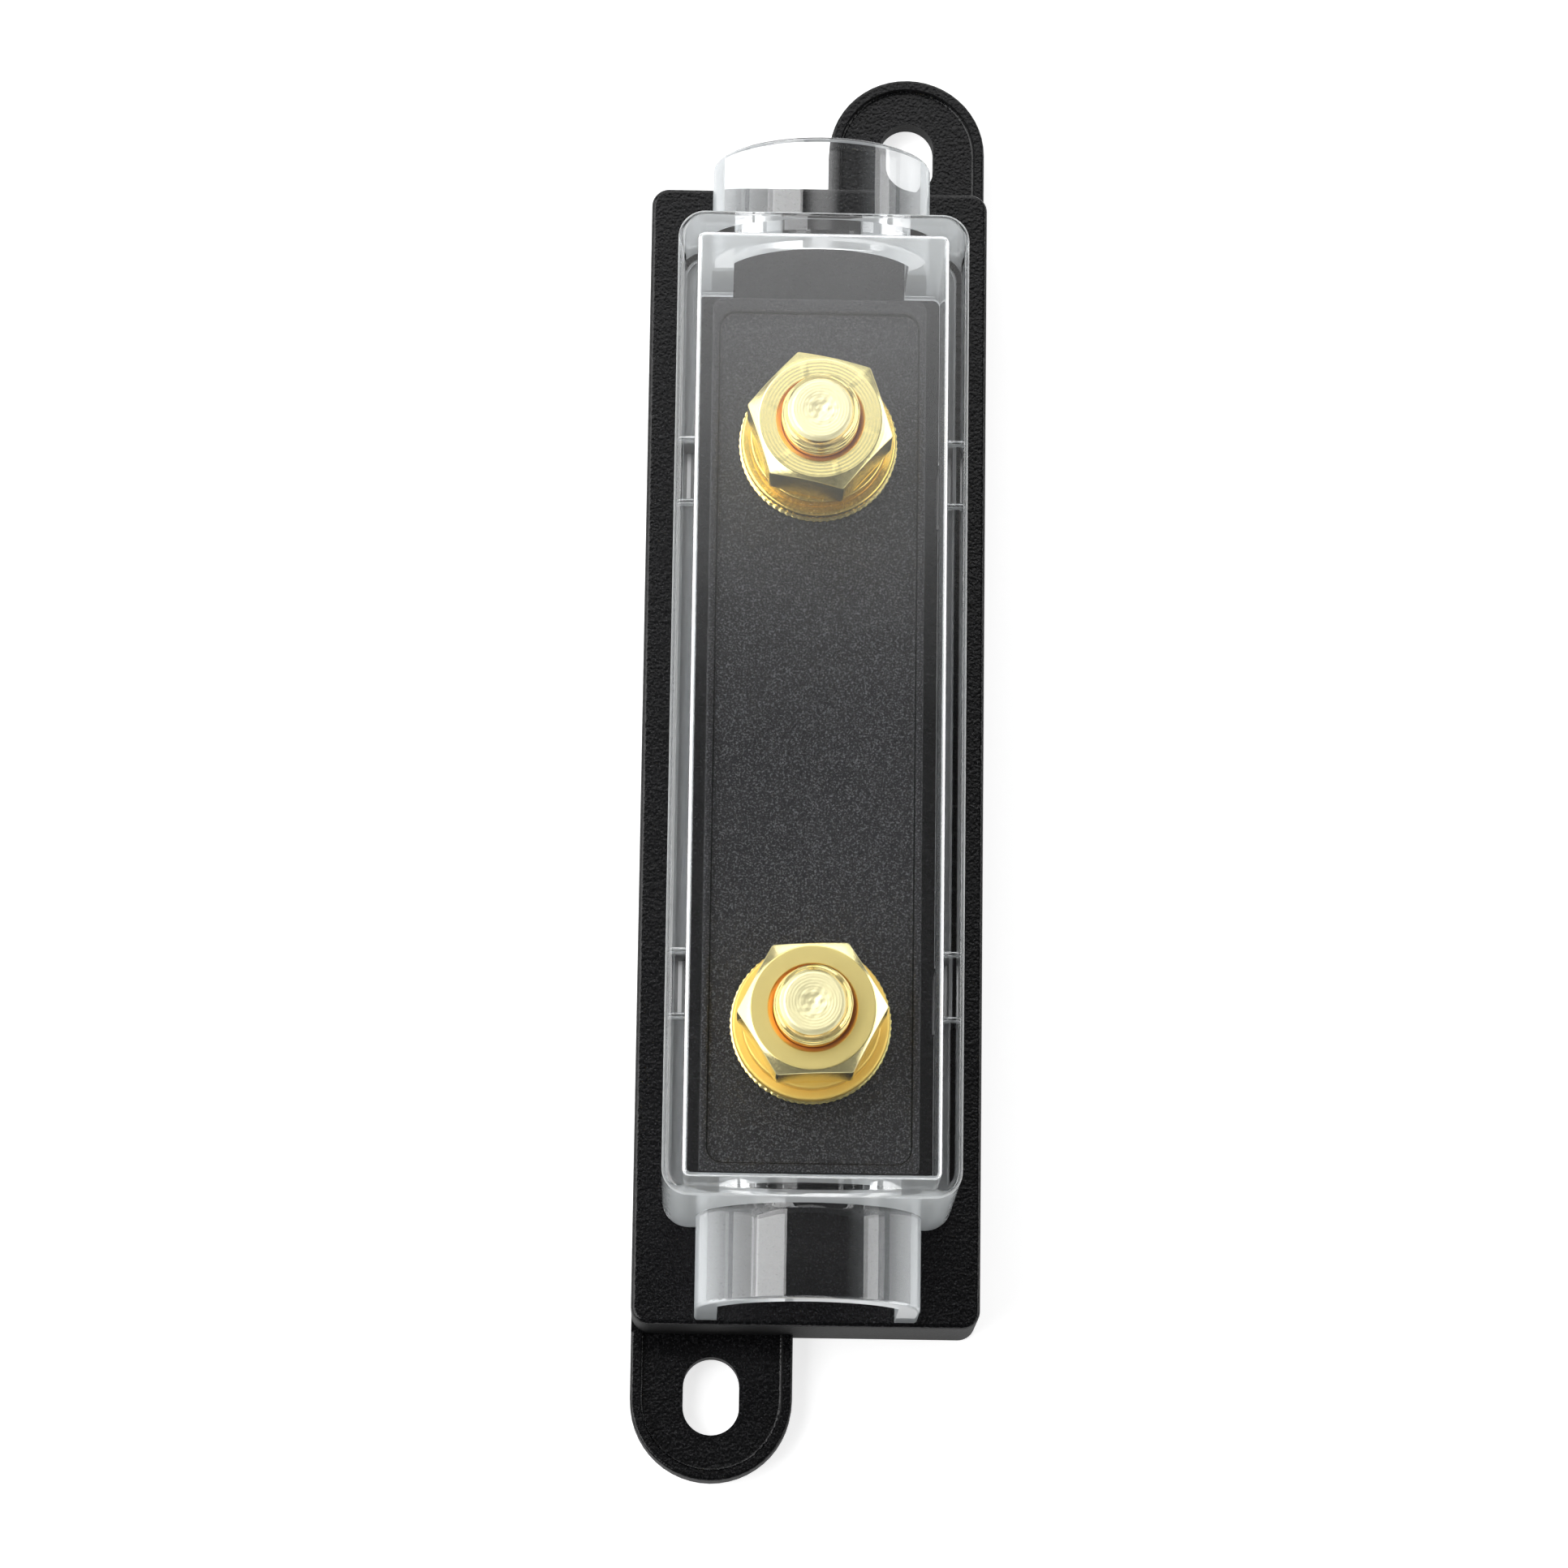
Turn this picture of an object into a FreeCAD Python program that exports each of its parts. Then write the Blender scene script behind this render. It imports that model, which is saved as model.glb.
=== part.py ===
import FreeCAD, Part
import math
import os
from FreeCAD import Vector

# Strip-fuse holder with two M8 terminals, in millimetres.
# Origin: centre of the underside of the base. +Z up, +Y along the length, +X to the right.

# Base plate
plate_width = 35.0
plate_length = 118.8
plate_height = 10.5
plate_corner_radius = 1.8
plate_top_edge_radius = 0.45

# Mounting ears, one at each end, on opposite sides
ear_width = 16.4
ear_reach = 14.9
ear_rim_height = 3.3
ear_rim_width = 1.0
ear_floor_height = 2.5
ear_edge_radius = 0.3
ear_pocket_radius = 0.35
slot_width = 5.7
slot_length = 7.9
slot_beyond_plate = 6.3

# Platform that carries the studs, with a shallow recess in its top
platform_half_width = 11.0
platform_half_length = 45.5
platform_rise = 6.5
platform_corner_radius = 1.2
platform_edge_radius = 0.25
recess_half_width = 10.2
recess_half_length = 44.0
recess_depth = 0.7
recess_corner_radius = 1.6
recess_edge_radius = 0.3
recess_floor_radius = 0.3

# Foot of the cover: the outer half of the wall stands on the plate, the inner half is a tongue in a groove
tongue_thickness = 1.1
tongue_drop = 0.6
groove_depth = 0.8
groove_clearance = 0.2

# Cores taken out of the underside
core_wall = 2.6
core_roof = 2.6
core_corner_radius = 2.0
core_rib_width = 2.4
stud_boss_half_length = 9.5

# Studs
stud_spacing = 60.0
stud_radius = 3.9
stud_beyond_nut = 3.6
stud_chamfer = 0.95
stud_dimple_radius = 1.9
stud_dimple_depth = 0.25
stud_root_radius = 5.5
stud_root_depth = 10.0
stud_root_neck_radius = 4.6
stud_root_neck_height = 2.0
flange_radius = 8.1
flange_height = 0.8
flange_teeth = 56
flange_tooth_depth = 0.22

# Loose hardware on each stud
hardware_bore_radius = 4.2
washer_radius = 7.9
washer_height = 1.4
washer_edge_radius = 0.3
spring_radius = 7.0
spring_height = 2.0
spring_gap = 1.4
spring_slant = 18.0
near_spring_turn = 35.0
far_spring_turn = 140.0
spring_edge_radius = 0.2
nut_across_flats = 13.0
nut_height = 6.4
nut_bore_clearance = 0.05
nut_chamfer_angle = 30.0
nut_crown_radius = 6.15
nut_countersink_radius = 4.45
near_nut_turn = 2.6
far_nut_turn = -11.7

# Clear cover
cover_half_width = 14.55
cover_half_length = 49.6
headroom_over_stud = 2.05
cover_wall = 1.95
cover_corner_radius = 2.7
cover_top_edge_radius = 0.8
cover_inner_edge_radius = 0.5

# Cable shrouds, one at each end of the cover
shroud_half_width = 11.15
shroud_bore_half_width = 8.9
shroud_end = 58.9
shroud_crown_above_plate = 19.5
shroud_bore_shoulder = 11.3
shroud_bore_crown = 16.7
shroud_edge_radius = 0.35

# Snap tabs below the long walls, in slots through the plate, with a relief notch at each end
tab_centre = 26.4
tab_length = 6.1
tab_drop = 7.2
tab_tip_chamfer = 0.35
bead_proud = 0.25
bead_above_tip = 1.6
tab_slot_clearance = 0.2
bead_clearance = 0.1
relief_width = 0.5
relief_height = 1.3

# Heights and places that follow
plate_half_width = plate_width / 2
plate_half_length = plate_length / 2
platform_top = plate_height + platform_rise
recess_floor = platform_top - recess_depth
flange_top = recess_floor + flange_height
washer_top = flange_top + washer_height
spring_top = washer_top + spring_height
nut_top = spring_top + nut_height
stud_end_height = nut_top + stud_beyond_nut
cover_top_height = stud_end_height + headroom_over_stud + cover_wall
stud_at = stud_spacing / 2
ear_tip = plate_half_length + ear_reach
ear_centre = plate_half_width - ear_width / 2
slot_centre = plate_half_length + slot_beyond_plate
cover_inner_half_width = cover_half_width - cover_wall
cover_inner_half_length = cover_half_length - cover_wall
groove_floor = plate_height - groove_depth
tongue_half_width = cover_inner_half_width + tongue_thickness
tongue_half_length = cover_inner_half_length + tongue_thickness
tongue_corner_radius = cover_corner_radius - cover_wall + tongue_thickness
tab_tip = plate_height - tab_drop
bead_height = tab_tip + bead_above_tip


def rounded_block(half_x, half_y, low, high, radius):
    """Upright block about the Z axis with rounded vertical corners."""
    block = Part.makeBox(2 * half_x, 2 * half_y, high - low, Vector(-half_x, -half_y, low))
    upright = [edge for edge in block.Edges if is_upright(edge)]
    return block.makeFillet(radius, upright)


def is_upright(edge):
    """True for a straight edge along Z."""
    ends = [vertex.Point for vertex in edge.Vertexes]
    if len(ends) < 2:
        return False
    return math.hypot(ends[0].x - ends[1].x, ends[0].y - ends[1].y) < 1e-6


def edges_at_height(shape, height):
    """Edges of a shape that lie level at one height."""
    level = []
    for edge in shape.Edges:
        box = edge.BoundBox
        if abs(box.ZMin - height) < 1e-5 and abs(box.ZMax - height) < 1e-5:
            level.append(edge)
    return level


def revolve(points, centre_y):
    """Body of revolution from (radius, height) points, on an upright axis at x = 0."""
    corners = [Vector(radius, 0, height) for radius, height in points]
    outline = Part.makePolygon(corners + [corners[0]])
    body = Part.Face(outline).revolve(Vector(0, 0, 0), Vector(0, 0, 1), 360)
    body.translate(Vector(0, centre_y, 0))
    return body


def half_turn(shape):
    """Copy of a shape turned half a turn about the Z axis."""
    turned = shape.copy()
    turned.rotate(Vector(0, 0, 0), Vector(0, 0, 1), 180)
    return turned


def ear_outline(inset, centre_x):
    """U-shaped outline of the near ear, open side buried in the plate."""
    radius = ear_width / 2 - inset
    tip_centre = -ear_tip + ear_width / 2
    back = -plate_half_length
    left = Vector(centre_x - radius, back, 0)
    right = Vector(centre_x + radius, back, 0)
    left_end = Vector(centre_x - radius, tip_centre, 0)
    right_end = Vector(centre_x + radius, tip_centre, 0)
    tip = Vector(centre_x, tip_centre - radius, 0)
    edges = [Part.makeLine(left, left_end), Part.Arc(left_end, tip, right_end).toShape(),
             Part.makeLine(right_end, right), Part.makeLine(right, left)]
    return Part.Wire(edges)


def slot_outline(centre_x, centre_y):
    """Slot with round ends, running along Y."""
    radius = slot_width / 2
    straight = slot_length / 2 - radius
    a = Vector(centre_x - radius, centre_y - straight, 0)
    b = Vector(centre_x - radius, centre_y + straight, 0)
    c = Vector(centre_x + radius, centre_y + straight, 0)
    d = Vector(centre_x + radius, centre_y - straight, 0)
    top = Vector(centre_x, centre_y + straight + radius, 0)
    bottom = Vector(centre_x, centre_y - straight - radius, 0)
    edges = [Part.makeLine(a, b), Part.Arc(b, top, c).toShape(),
             Part.makeLine(c, d), Part.Arc(d, bottom, a).toShape()]
    return Part.Wire(edges)


def near_ear():
    """Ear at the near left corner: raised rim round a lower floor with a slot."""
    overlap = Vector(0, plate_corner_radius + 0.6, 0)
    body = Part.Face(ear_outline(0, -ear_centre)).extrude(Vector(0, 0, ear_rim_height))
    body = body.makeFillet(ear_edge_radius, [edge for edge in edges_at_height(body, ear_rim_height)
                                             if edge.BoundBox.YMin < -plate_half_length - 0.01])
    root = Part.makeBox(ear_width, overlap.y, ear_rim_height,
                        Vector(-ear_centre - ear_width / 2, -plate_half_length, 0))
    body = body.fuse(root)
    pocket = Part.Face(ear_outline(ear_rim_width, -ear_centre))
    pocket = pocket.extrude(Vector(0, 0, ear_rim_height))
    pocket.translate(Vector(0, 0, ear_floor_height))
    foot = [edge for edge in edges_at_height(pocket, ear_floor_height)
            if edge.BoundBox.YMin < -plate_half_length - 0.01]
    pocket = pocket.makeFillet(ear_pocket_radius, foot)
    body = body.cut(pocket)
    slot = Part.Face(slot_outline(-ear_centre, -slot_centre)).extrude(Vector(0, 0, ear_rim_height))
    return body.cut(slot)


def foot_groove():
    """Groove in the plate that takes the tongue of the cover, left out below the cable openings."""
    outer = rounded_block(tongue_half_width + groove_clearance, tongue_half_length + groove_clearance,
                          groove_floor, plate_height + 1, tongue_corner_radius + groove_clearance)
    inner = rounded_block(cover_inner_half_width - groove_clearance,
                          cover_inner_half_length - groove_clearance,
                          groove_floor - 1, plate_height + 2,
                          tongue_corner_radius - tongue_thickness - groove_clearance)
    loop = outer.cut(inner)
    bridge_half_width = shroud_bore_half_width - groove_clearance
    bridge = Part.makeBox(2 * bridge_half_width, 2 * plate_length, plate_height,
                          Vector(-bridge_half_width, -plate_length, groove_floor - 1))
    return loop.cut(bridge)


def underside_cores():
    """Pockets that thin the thick moulding from below, with ribs and stud bosses left between."""
    cores = []
    middle_high = platform_top - recess_depth - core_roof
    middle_x = platform_half_width - core_wall
    middle_y = stud_at - stud_boss_half_length
    rib = core_rib_width / 2
    length = middle_y - rib
    for side in (1, -1):
        core = rounded_block(middle_x, length / 2, -1, middle_high, core_corner_radius)
        core.translate(Vector(0, side * (rib + length / 2), 0))
        cores.append(core)
    end_x = plate_half_width - core_wall
    end_low = stud_at + stud_boss_half_length
    end_high = plate_half_length - core_wall
    half_span = (end_x - rib) / 2
    for side_y in (1, -1):
        for side_x in (1, -1):
            core = rounded_block(half_span, (end_high - end_low) / 2, -1,
                                 plate_height - core_roof, core_corner_radius)
            core.translate(Vector(side_x * (rib + half_span), side_y * (end_low + end_high) / 2, 0))
            cores.append(core)
    return cores


def tab_slot(side_x, centre_y):
    """Slot right through the plate for a snap tab and its bead."""
    inner = cover_inner_half_width - tab_slot_clearance
    outer = tongue_half_width + bead_proud + bead_clearance
    half_length = tab_length / 2 + tab_slot_clearance
    slot = Part.makeBox(outer - inner, 2 * half_length, plate_height + 2,
                        Vector(inner, -half_length, -1))
    if side_x < 0:
        slot.rotate(Vector(0, 0, 0), Vector(0, 0, 1), 180)
    slot.translate(Vector(0, centre_y, 0))
    return slot


def stud_seat(centre_y):
    """Hole in the base that the moulded-in root of a stud fills."""
    return revolve(stud_root_points(), centre_y)


def stud_root_points():
    """Half outline of the buried part of a stud, with a neck that locks it in."""
    floor = recess_floor
    bottom = floor - stud_root_depth
    neck_low = bottom + (stud_root_depth - stud_root_neck_height) / 2
    neck_high = neck_low + stud_root_neck_height
    return [(0, bottom), (stud_root_radius, bottom), (stud_root_radius, neck_low),
            (stud_root_neck_radius, neck_low), (stud_root_neck_radius, neck_high),
            (stud_root_radius, neck_high), (stud_root_radius, floor), (0, floor)]


def make_base():
    """Black moulded base: plate, two ears, platform, groove and cores."""
    plate = rounded_block(plate_half_width, plate_half_length, 0, plate_height, plate_corner_radius)
    plate = plate.makeFillet(plate_top_edge_radius, edges_at_height(plate, plate_height))
    ear = near_ear()
    base = plate.fuse([ear, half_turn(ear)])
    platform = rounded_block(platform_half_width, platform_half_length, plate_height - 1,
                             platform_top, platform_corner_radius)
    platform = platform.makeFillet(platform_edge_radius, edges_at_height(platform, platform_top))
    recess = rounded_block(recess_half_width, recess_half_length, recess_floor,
                           platform_top + 1, recess_corner_radius)
    recess = recess.makeFillet(recess_floor_radius, edges_at_height(recess, recess_floor))
    platform = platform.cut(recess)
    rim = [edge for edge in edges_at_height(platform, platform_top) if within_recess(edge)]
    platform = platform.makeFillet(recess_edge_radius, rim)
    base = base.fuse(platform)
    base = base.cut(foot_groove())
    base = base.cut([tab_slot(sx, sy * tab_centre) for sx in (1, -1) for sy in (1, -1)])
    base = base.cut(underside_cores())
    base = base.cut([stud_seat(stud_at), stud_seat(-stud_at)])
    return base.removeSplitter()


def within_recess(edge):
    """True for an edge of the recess, and not of the rim round the platform."""
    reach = (recess_half_width + platform_half_width - platform_edge_radius) / 2
    lengthwise = (recess_half_length + platform_half_length - platform_edge_radius) / 2
    box = edge.BoundBox
    return max(-box.XMin, box.XMax) < reach and max(-box.YMin, box.YMax) < lengthwise


def serrated_flange(centre_y):
    """Round flange with fine teeth along its rim."""
    points = []
    steps = 2 * flange_teeth
    for step in range(steps):
        angle = 2 * math.pi * step / steps
        radius = flange_radius if step % 2 == 0 else flange_radius - flange_tooth_depth
        points.append(Vector(radius * math.cos(angle), centre_y + radius * math.sin(angle),
                             recess_floor))
    outline = Part.makePolygon(points + [points[0]])
    return Part.Face(outline).extrude(Vector(0, 0, flange_height))


def make_stud(centre_y):
    """Threaded stud with a serrated flange and a root moulded into the base."""
    neck = stud_end_height - stud_chamfer
    dimple = stud_end_height - stud_dimple_depth
    shank = revolve([(0, recess_floor), (stud_radius, recess_floor), (stud_radius, neck),
                     (stud_radius - stud_chamfer, stud_end_height),
                     (stud_dimple_radius, stud_end_height), (0, dimple)], centre_y)
    root = revolve(stud_root_points(), centre_y)
    return shank.fuse([root, serrated_flange(centre_y)]).removeSplitter()


def ring(inner, outer, low, high, edge_radius, centre_y):
    """Flat ring with softened edges on the outside."""
    body = revolve([(inner, low), (outer, low), (outer, high), (inner, high)], centre_y)
    rims = [edge for edge in body.Edges if abs(edge.BoundBox.XMax - outer) < 1e-4
            and edge.BoundBox.ZLength < 1e-4]
    return body.makeFillet(edge_radius, rims)


def make_washer(centre_y):
    """Plain flat washer."""
    return ring(hardware_bore_radius, washer_radius, flange_top, washer_top,
                washer_edge_radius, centre_y)


def make_spring_washer(centre_y, turn):
    """Split spring washer, closed up flat, cut through on a slant."""
    body = ring(hardware_bore_radius, spring_radius, washer_top, spring_top,
                spring_edge_radius, centre_y)
    reach = spring_height * math.tan(math.radians(spring_slant)) + 1
    gap = Part.makeBox(spring_radius + 1, spring_gap, spring_height + 2 * reach,
                       Vector(0, -spring_gap / 2, -spring_height / 2 - reach))
    gap.rotate(Vector(0, 0, 0), Vector(1, 0, 0), spring_slant)
    gap.rotate(Vector(0, 0, 0), Vector(0, 0, 1), turn)
    gap.translate(Vector(0, centre_y, (washer_top + spring_top) / 2))
    return body.cut(gap)


def make_nut(centre_y, turn):
    """Hexagon nut, chamfered on both faces, with a countersunk bore."""
    corner = nut_across_flats / 2 / math.cos(math.radians(30))
    points = [Vector(corner * math.cos(math.radians(60 * k)), corner * math.sin(math.radians(60 * k)),
                     spring_top) for k in range(6)]
    prism = Part.Face(Part.makePolygon(points + [points[0]])).extrude(Vector(0, 0, nut_height))
    drop = (corner + 1 - nut_crown_radius) * math.tan(math.radians(nut_chamfer_angle))
    crown = revolve([(0, spring_top), (nut_crown_radius, spring_top),
                     (corner + 1, spring_top + drop), (corner + 1, nut_top - drop),
                     (nut_crown_radius, nut_top), (0, nut_top)], 0)
    bore = stud_radius + nut_bore_clearance
    sink = nut_countersink_radius - bore
    hole = revolve([(0, spring_top - 1), (nut_countersink_radius + 1, spring_top - 1),
                    (bore, spring_top + sink), (bore, nut_top - sink),
                    (nut_countersink_radius + 1, nut_top + 1), (0, nut_top + 1)], 0)
    nut = prism.common(crown).cut(hole)
    nut.rotate(Vector(0, 0, 0), Vector(0, 0, 1), turn)
    nut.translate(Vector(0, centre_y, 0))
    return nut


def arch_outline(half_width, shoulder, crown, at_y):
    """Upright outline of two legs joined by an arc, standing on the plate."""
    low = plate_height
    left_foot = Vector(-half_width, at_y, low)
    right_foot = Vector(half_width, at_y, low)
    left = Vector(-half_width, at_y, low + shoulder)
    right = Vector(half_width, at_y, low + shoulder)
    top = Vector(0, at_y, low + crown)
    edges = [Part.makeLine(left_foot, left), Part.Arc(left, top, right).toShape(),
             Part.makeLine(right, right_foot), Part.makeLine(right_foot, left_foot)]
    return Part.Wire(edges)


def far_shroud_shell():
    """Outside of the far cable shroud, from inside the end wall to its open end."""
    shoulder = shroud_crown_above_plate - shroud_half_width
    start = cover_half_length - cover_wall / 2
    outline = arch_outline(shroud_half_width, shoulder, shroud_crown_above_plate, start)
    shell = Part.Face(outline).extrude(Vector(0, shroud_end - start, 0))
    rim = [edge for edge in shell.Edges if abs(edge.BoundBox.YMin - shroud_end) < 1e-5
           and abs(edge.BoundBox.YMax - shroud_end) < 1e-5
           and edge.BoundBox.ZMax > plate_height + 0.01]
    return shell.makeFillet(shroud_edge_radius, rim)


def far_shroud_bore():
    """Opening for the cable, through the end wall and the shroud."""
    start = cover_inner_half_length - 0.5
    outline = arch_outline(shroud_bore_half_width, shroud_bore_shoulder, shroud_bore_crown, start)
    bore = Part.Face(outline).extrude(Vector(0, shroud_end + 1 - start, 0))
    skirt = Part.makeBox(2 * shroud_bore_half_width, shroud_end + 1 - start, groove_depth + 1,
                         Vector(-shroud_bore_half_width, start, plate_height - groove_depth - 1))
    return bore.fuse(skirt)


def snap_tab(side_x, centre_y):
    """Tab below the tongue, with a pointed tip and a bead along its outer face."""
    inner = cover_inner_half_width
    outer = tongue_half_width
    root = plate_height - tongue_drop / 2
    lead = tab_tip_chamfer
    corners = [Vector(inner, 0, root), Vector(inner, 0, tab_tip + lead),
               Vector(inner + lead, 0, tab_tip), Vector(outer - lead, 0, tab_tip),
               Vector(outer, 0, tab_tip + lead), Vector(outer, 0, bead_height - bead_proud),
               Vector(outer + bead_proud, 0, bead_height), Vector(outer, 0, bead_height + bead_proud),
               Vector(outer, 0, root)]
    tab = Part.Face(Part.makePolygon(corners + [corners[0]])).extrude(Vector(0, tab_length, 0))
    tab.translate(Vector(0, -tab_length / 2, 0))
    if side_x < 0:
        tab.rotate(Vector(0, 0, 0), Vector(0, 0, 1), 180)
    tab.translate(Vector(0, centre_y, 0))
    return tab


def relief_notch(side_x, at_y):
    """Round-topped notch in the foot of a long wall, beside a snap tab."""
    radius = relief_width / 2
    low = groove_floor - 1
    shoulder = plate_height + relief_height - radius
    left = Vector(0, -radius, shoulder)
    right = Vector(0, radius, shoulder)
    edges = [Part.makeLine(Vector(0, -radius, low), left),
             Part.Arc(left, Vector(0, 0, shoulder + radius), right).toShape(),
             Part.makeLine(right, Vector(0, radius, low)),
             Part.makeLine(Vector(0, radius, low), Vector(0, -radius, low))]
    notch = Part.Face(Part.Wire(edges)).extrude(Vector(cover_wall + 1, 0, 0))
    start = cover_inner_half_width - 0.5 if side_x > 0 else -cover_half_width - 0.5
    notch.translate(Vector(start, at_y, 0))
    return notch


def make_cover():
    """Clear cover: box with an arched cable shroud at each end, a tongue round its foot and four tabs."""
    box = rounded_block(cover_half_width, cover_half_length, plate_height, cover_top_height,
                        cover_corner_radius)
    box = box.makeFillet(cover_top_edge_radius, edges_at_height(box, cover_top_height))
    tongue = rounded_block(tongue_half_width, tongue_half_length, plate_height - tongue_drop,
                           plate_height + 1, tongue_corner_radius)
    shell = far_shroud_shell()
    body = box.fuse([tongue, shell, half_turn(shell)])
    hollow = rounded_block(cover_inner_half_width, cover_inner_half_length, groove_floor - 1,
                           cover_top_height - cover_wall, cover_corner_radius - cover_wall)
    hollow = hollow.makeFillet(cover_inner_edge_radius,
                               edges_at_height(hollow, cover_top_height - cover_wall))
    body = body.cut(hollow)
    bore = far_shroud_bore()
    body = body.cut([bore, half_turn(bore)])
    places = [(sx, sy * tab_centre) for sx in (1, -1) for sy in (1, -1)]
    body = body.fuse([snap_tab(side_x, at_y) for side_x, at_y in places])
    beside = (tab_length + relief_width) / 2
    notches = [relief_notch(side_x, at_y + end * beside) for side_x, at_y in places for end in (1, -1)]
    return body.cut(notches).removeSplitter()


def write(shape, node):
    """Write one sub-part, as a single solid."""
    solid = shape.Solids[0] if len(shape.Solids) == 1 else shape
    print(node, len(shape.Solids), "solid", round(shape.Volume), "mm3", shape.isValid())
    solid.exportStep("parts/" + node + ".step")


os.makedirs("parts", exist_ok=True)
write(make_base(), "base")
write(make_cover(), "cover")
for place, at, split_turn, nut_turn in (("near", -stud_at, near_spring_turn, near_nut_turn),
                                        ("far", stud_at, far_spring_turn, far_nut_turn)):
    write(make_stud(at), "stud_" + place)
    write(make_washer(at), "washer_" + place)
    write(make_spring_washer(at, split_turn), "spring_washer_" + place)
    write(make_nut(at, nut_turn), "nut_" + place)
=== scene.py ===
import bmesh
import bpy
import math
import numpy as np
from mathutils import Matrix


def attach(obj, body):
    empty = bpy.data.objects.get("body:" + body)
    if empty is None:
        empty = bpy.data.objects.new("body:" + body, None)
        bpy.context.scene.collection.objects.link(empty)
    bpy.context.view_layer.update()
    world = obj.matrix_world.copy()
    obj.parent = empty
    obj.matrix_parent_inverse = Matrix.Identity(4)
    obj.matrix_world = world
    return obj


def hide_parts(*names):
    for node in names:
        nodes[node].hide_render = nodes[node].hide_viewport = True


# strip fuse holder: black moulded base, clear cover, gold-plated studs and nuts
# everything is in metres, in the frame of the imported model: +Z up, +Y along the length

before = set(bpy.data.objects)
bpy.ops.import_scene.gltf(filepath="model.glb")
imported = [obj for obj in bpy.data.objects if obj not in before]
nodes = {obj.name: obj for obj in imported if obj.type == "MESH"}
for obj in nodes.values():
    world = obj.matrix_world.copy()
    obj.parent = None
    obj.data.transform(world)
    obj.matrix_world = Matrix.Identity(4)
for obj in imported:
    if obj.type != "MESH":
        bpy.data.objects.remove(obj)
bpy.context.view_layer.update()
millimetre = 0.001
print("frame loaded:", ", ".join(sorted(nodes)))


# small helpers


def linearColour(hexCode):
    # sRGB hex to the linear RGBA that the shader sockets take
    channels = np.array([int(hexCode[i:i + 2], 16) for i in (1, 3, 5)]) / 255
    linear = np.where(channels <= 0.04045, channels / 12.92, ((channels + 0.055) / 1.055) ** 2.4)
    return tuple(float(value) for value in linear) + (1.0,)


def addNode(tree, kind, inputs=None, **settings):
    # one node, its settings, and its sockets: a socket as a value becomes a link
    node = tree.nodes.new(kind)
    for name, value in settings.items():
        setattr(node, name, value)
    for name, value in (inputs or {}).items():
        if isinstance(value, bpy.types.NodeSocket):
            tree.links.new(value, node.inputs[name])
        else:
            node.inputs[name].default_value = value
    return node


def calculate(tree, operation, *values):
    # the result of one Math node
    return addNode(tree, "ShaderNodeMath", dict(enumerate(values)), operation=operation).outputs[0]


def remap(tree, value, start, end, low=0.0, high=1.0, interpolation="LINEAR"):
    # start becomes low, end becomes high, and nothing leaves that range
    return addNode(tree, "ShaderNodeMapRange", {"Value": value, "From Min": start, "From Max": end,
                                                "To Min": low, "To Max": high},
                   interpolation_type=interpolation).outputs[0]


def addNoise(tree, place, perMetre, detail, roughness=0.5):
    return addNode(tree, "ShaderNodeTexNoise", {"Vector": place, "Scale": perMetre, "Detail": detail,
                                                "Roughness": roughness}).outputs[0]


def bumpFrom(tree, height, strength, depthMm):
    return addNode(tree, "ShaderNodeBump", {"Height": height, "Strength": strength,
                                            "Distance": depthMm * millimetre}).outputs[0]


def splitVector(tree, vector):
    # its x, y and z
    return addNode(tree, "ShaderNodeSeparateXYZ", {0: vector}).outputs


def mixColours(tree, share, first, second):
    # share 0 gives the first and 1 the second
    return addNode(tree, "ShaderNodeMix", {0: share, 6: first, 7: second}, data_type="RGBA").outputs[2]


def mixShaders(tree, share, first, second):
    return addNode(tree, "ShaderNodeMixShader", {0: share, 1: first, 2: second}).outputs[0]


def newMaterial(name):
    material = bpy.data.materials.new(name)
    material.use_nodes = True
    material.node_tree.nodes.clear()
    return material, material.node_tree


def dress(thing, material):
    # gives a piece or a CAD node its finish
    thing.data.materials.clear()
    thing.data.materials.append(material)


def softenCorners(corners, cuts, steps):
    # each corner of a (radius, height) outline becomes a short parabola: it leaves the outline
    # `cut` before the corner and joins it again `cut` after; corners is (n, columns, 2)
    rows = [corners[0][None]]
    u = np.linspace(0, 1, steps)[:, None, None]
    for before, corner, after, cut in zip(corners[:-2], corners[1:-1], corners[2:], cuts):
        towards = before - corner
        away = after - corner
        start = corner + towards / np.linalg.norm(towards, axis=-1, keepdims=True) * cut
        end = corner + away / np.linalg.norm(away, axis=-1, keepdims=True) * cut
        rows.append((1 - u) ** 2 * start + 2 * u * (1 - u) * corner + u ** 2 * end)
    rows.append(corners[-1][None])
    return np.concatenate(rows)


sweep = {
    "mergeWithin": 1e-7,        # in metres, for the points at a pole
    "flatFaceWeight": 80,       # how much the large faces count in the shading normals
}


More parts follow.
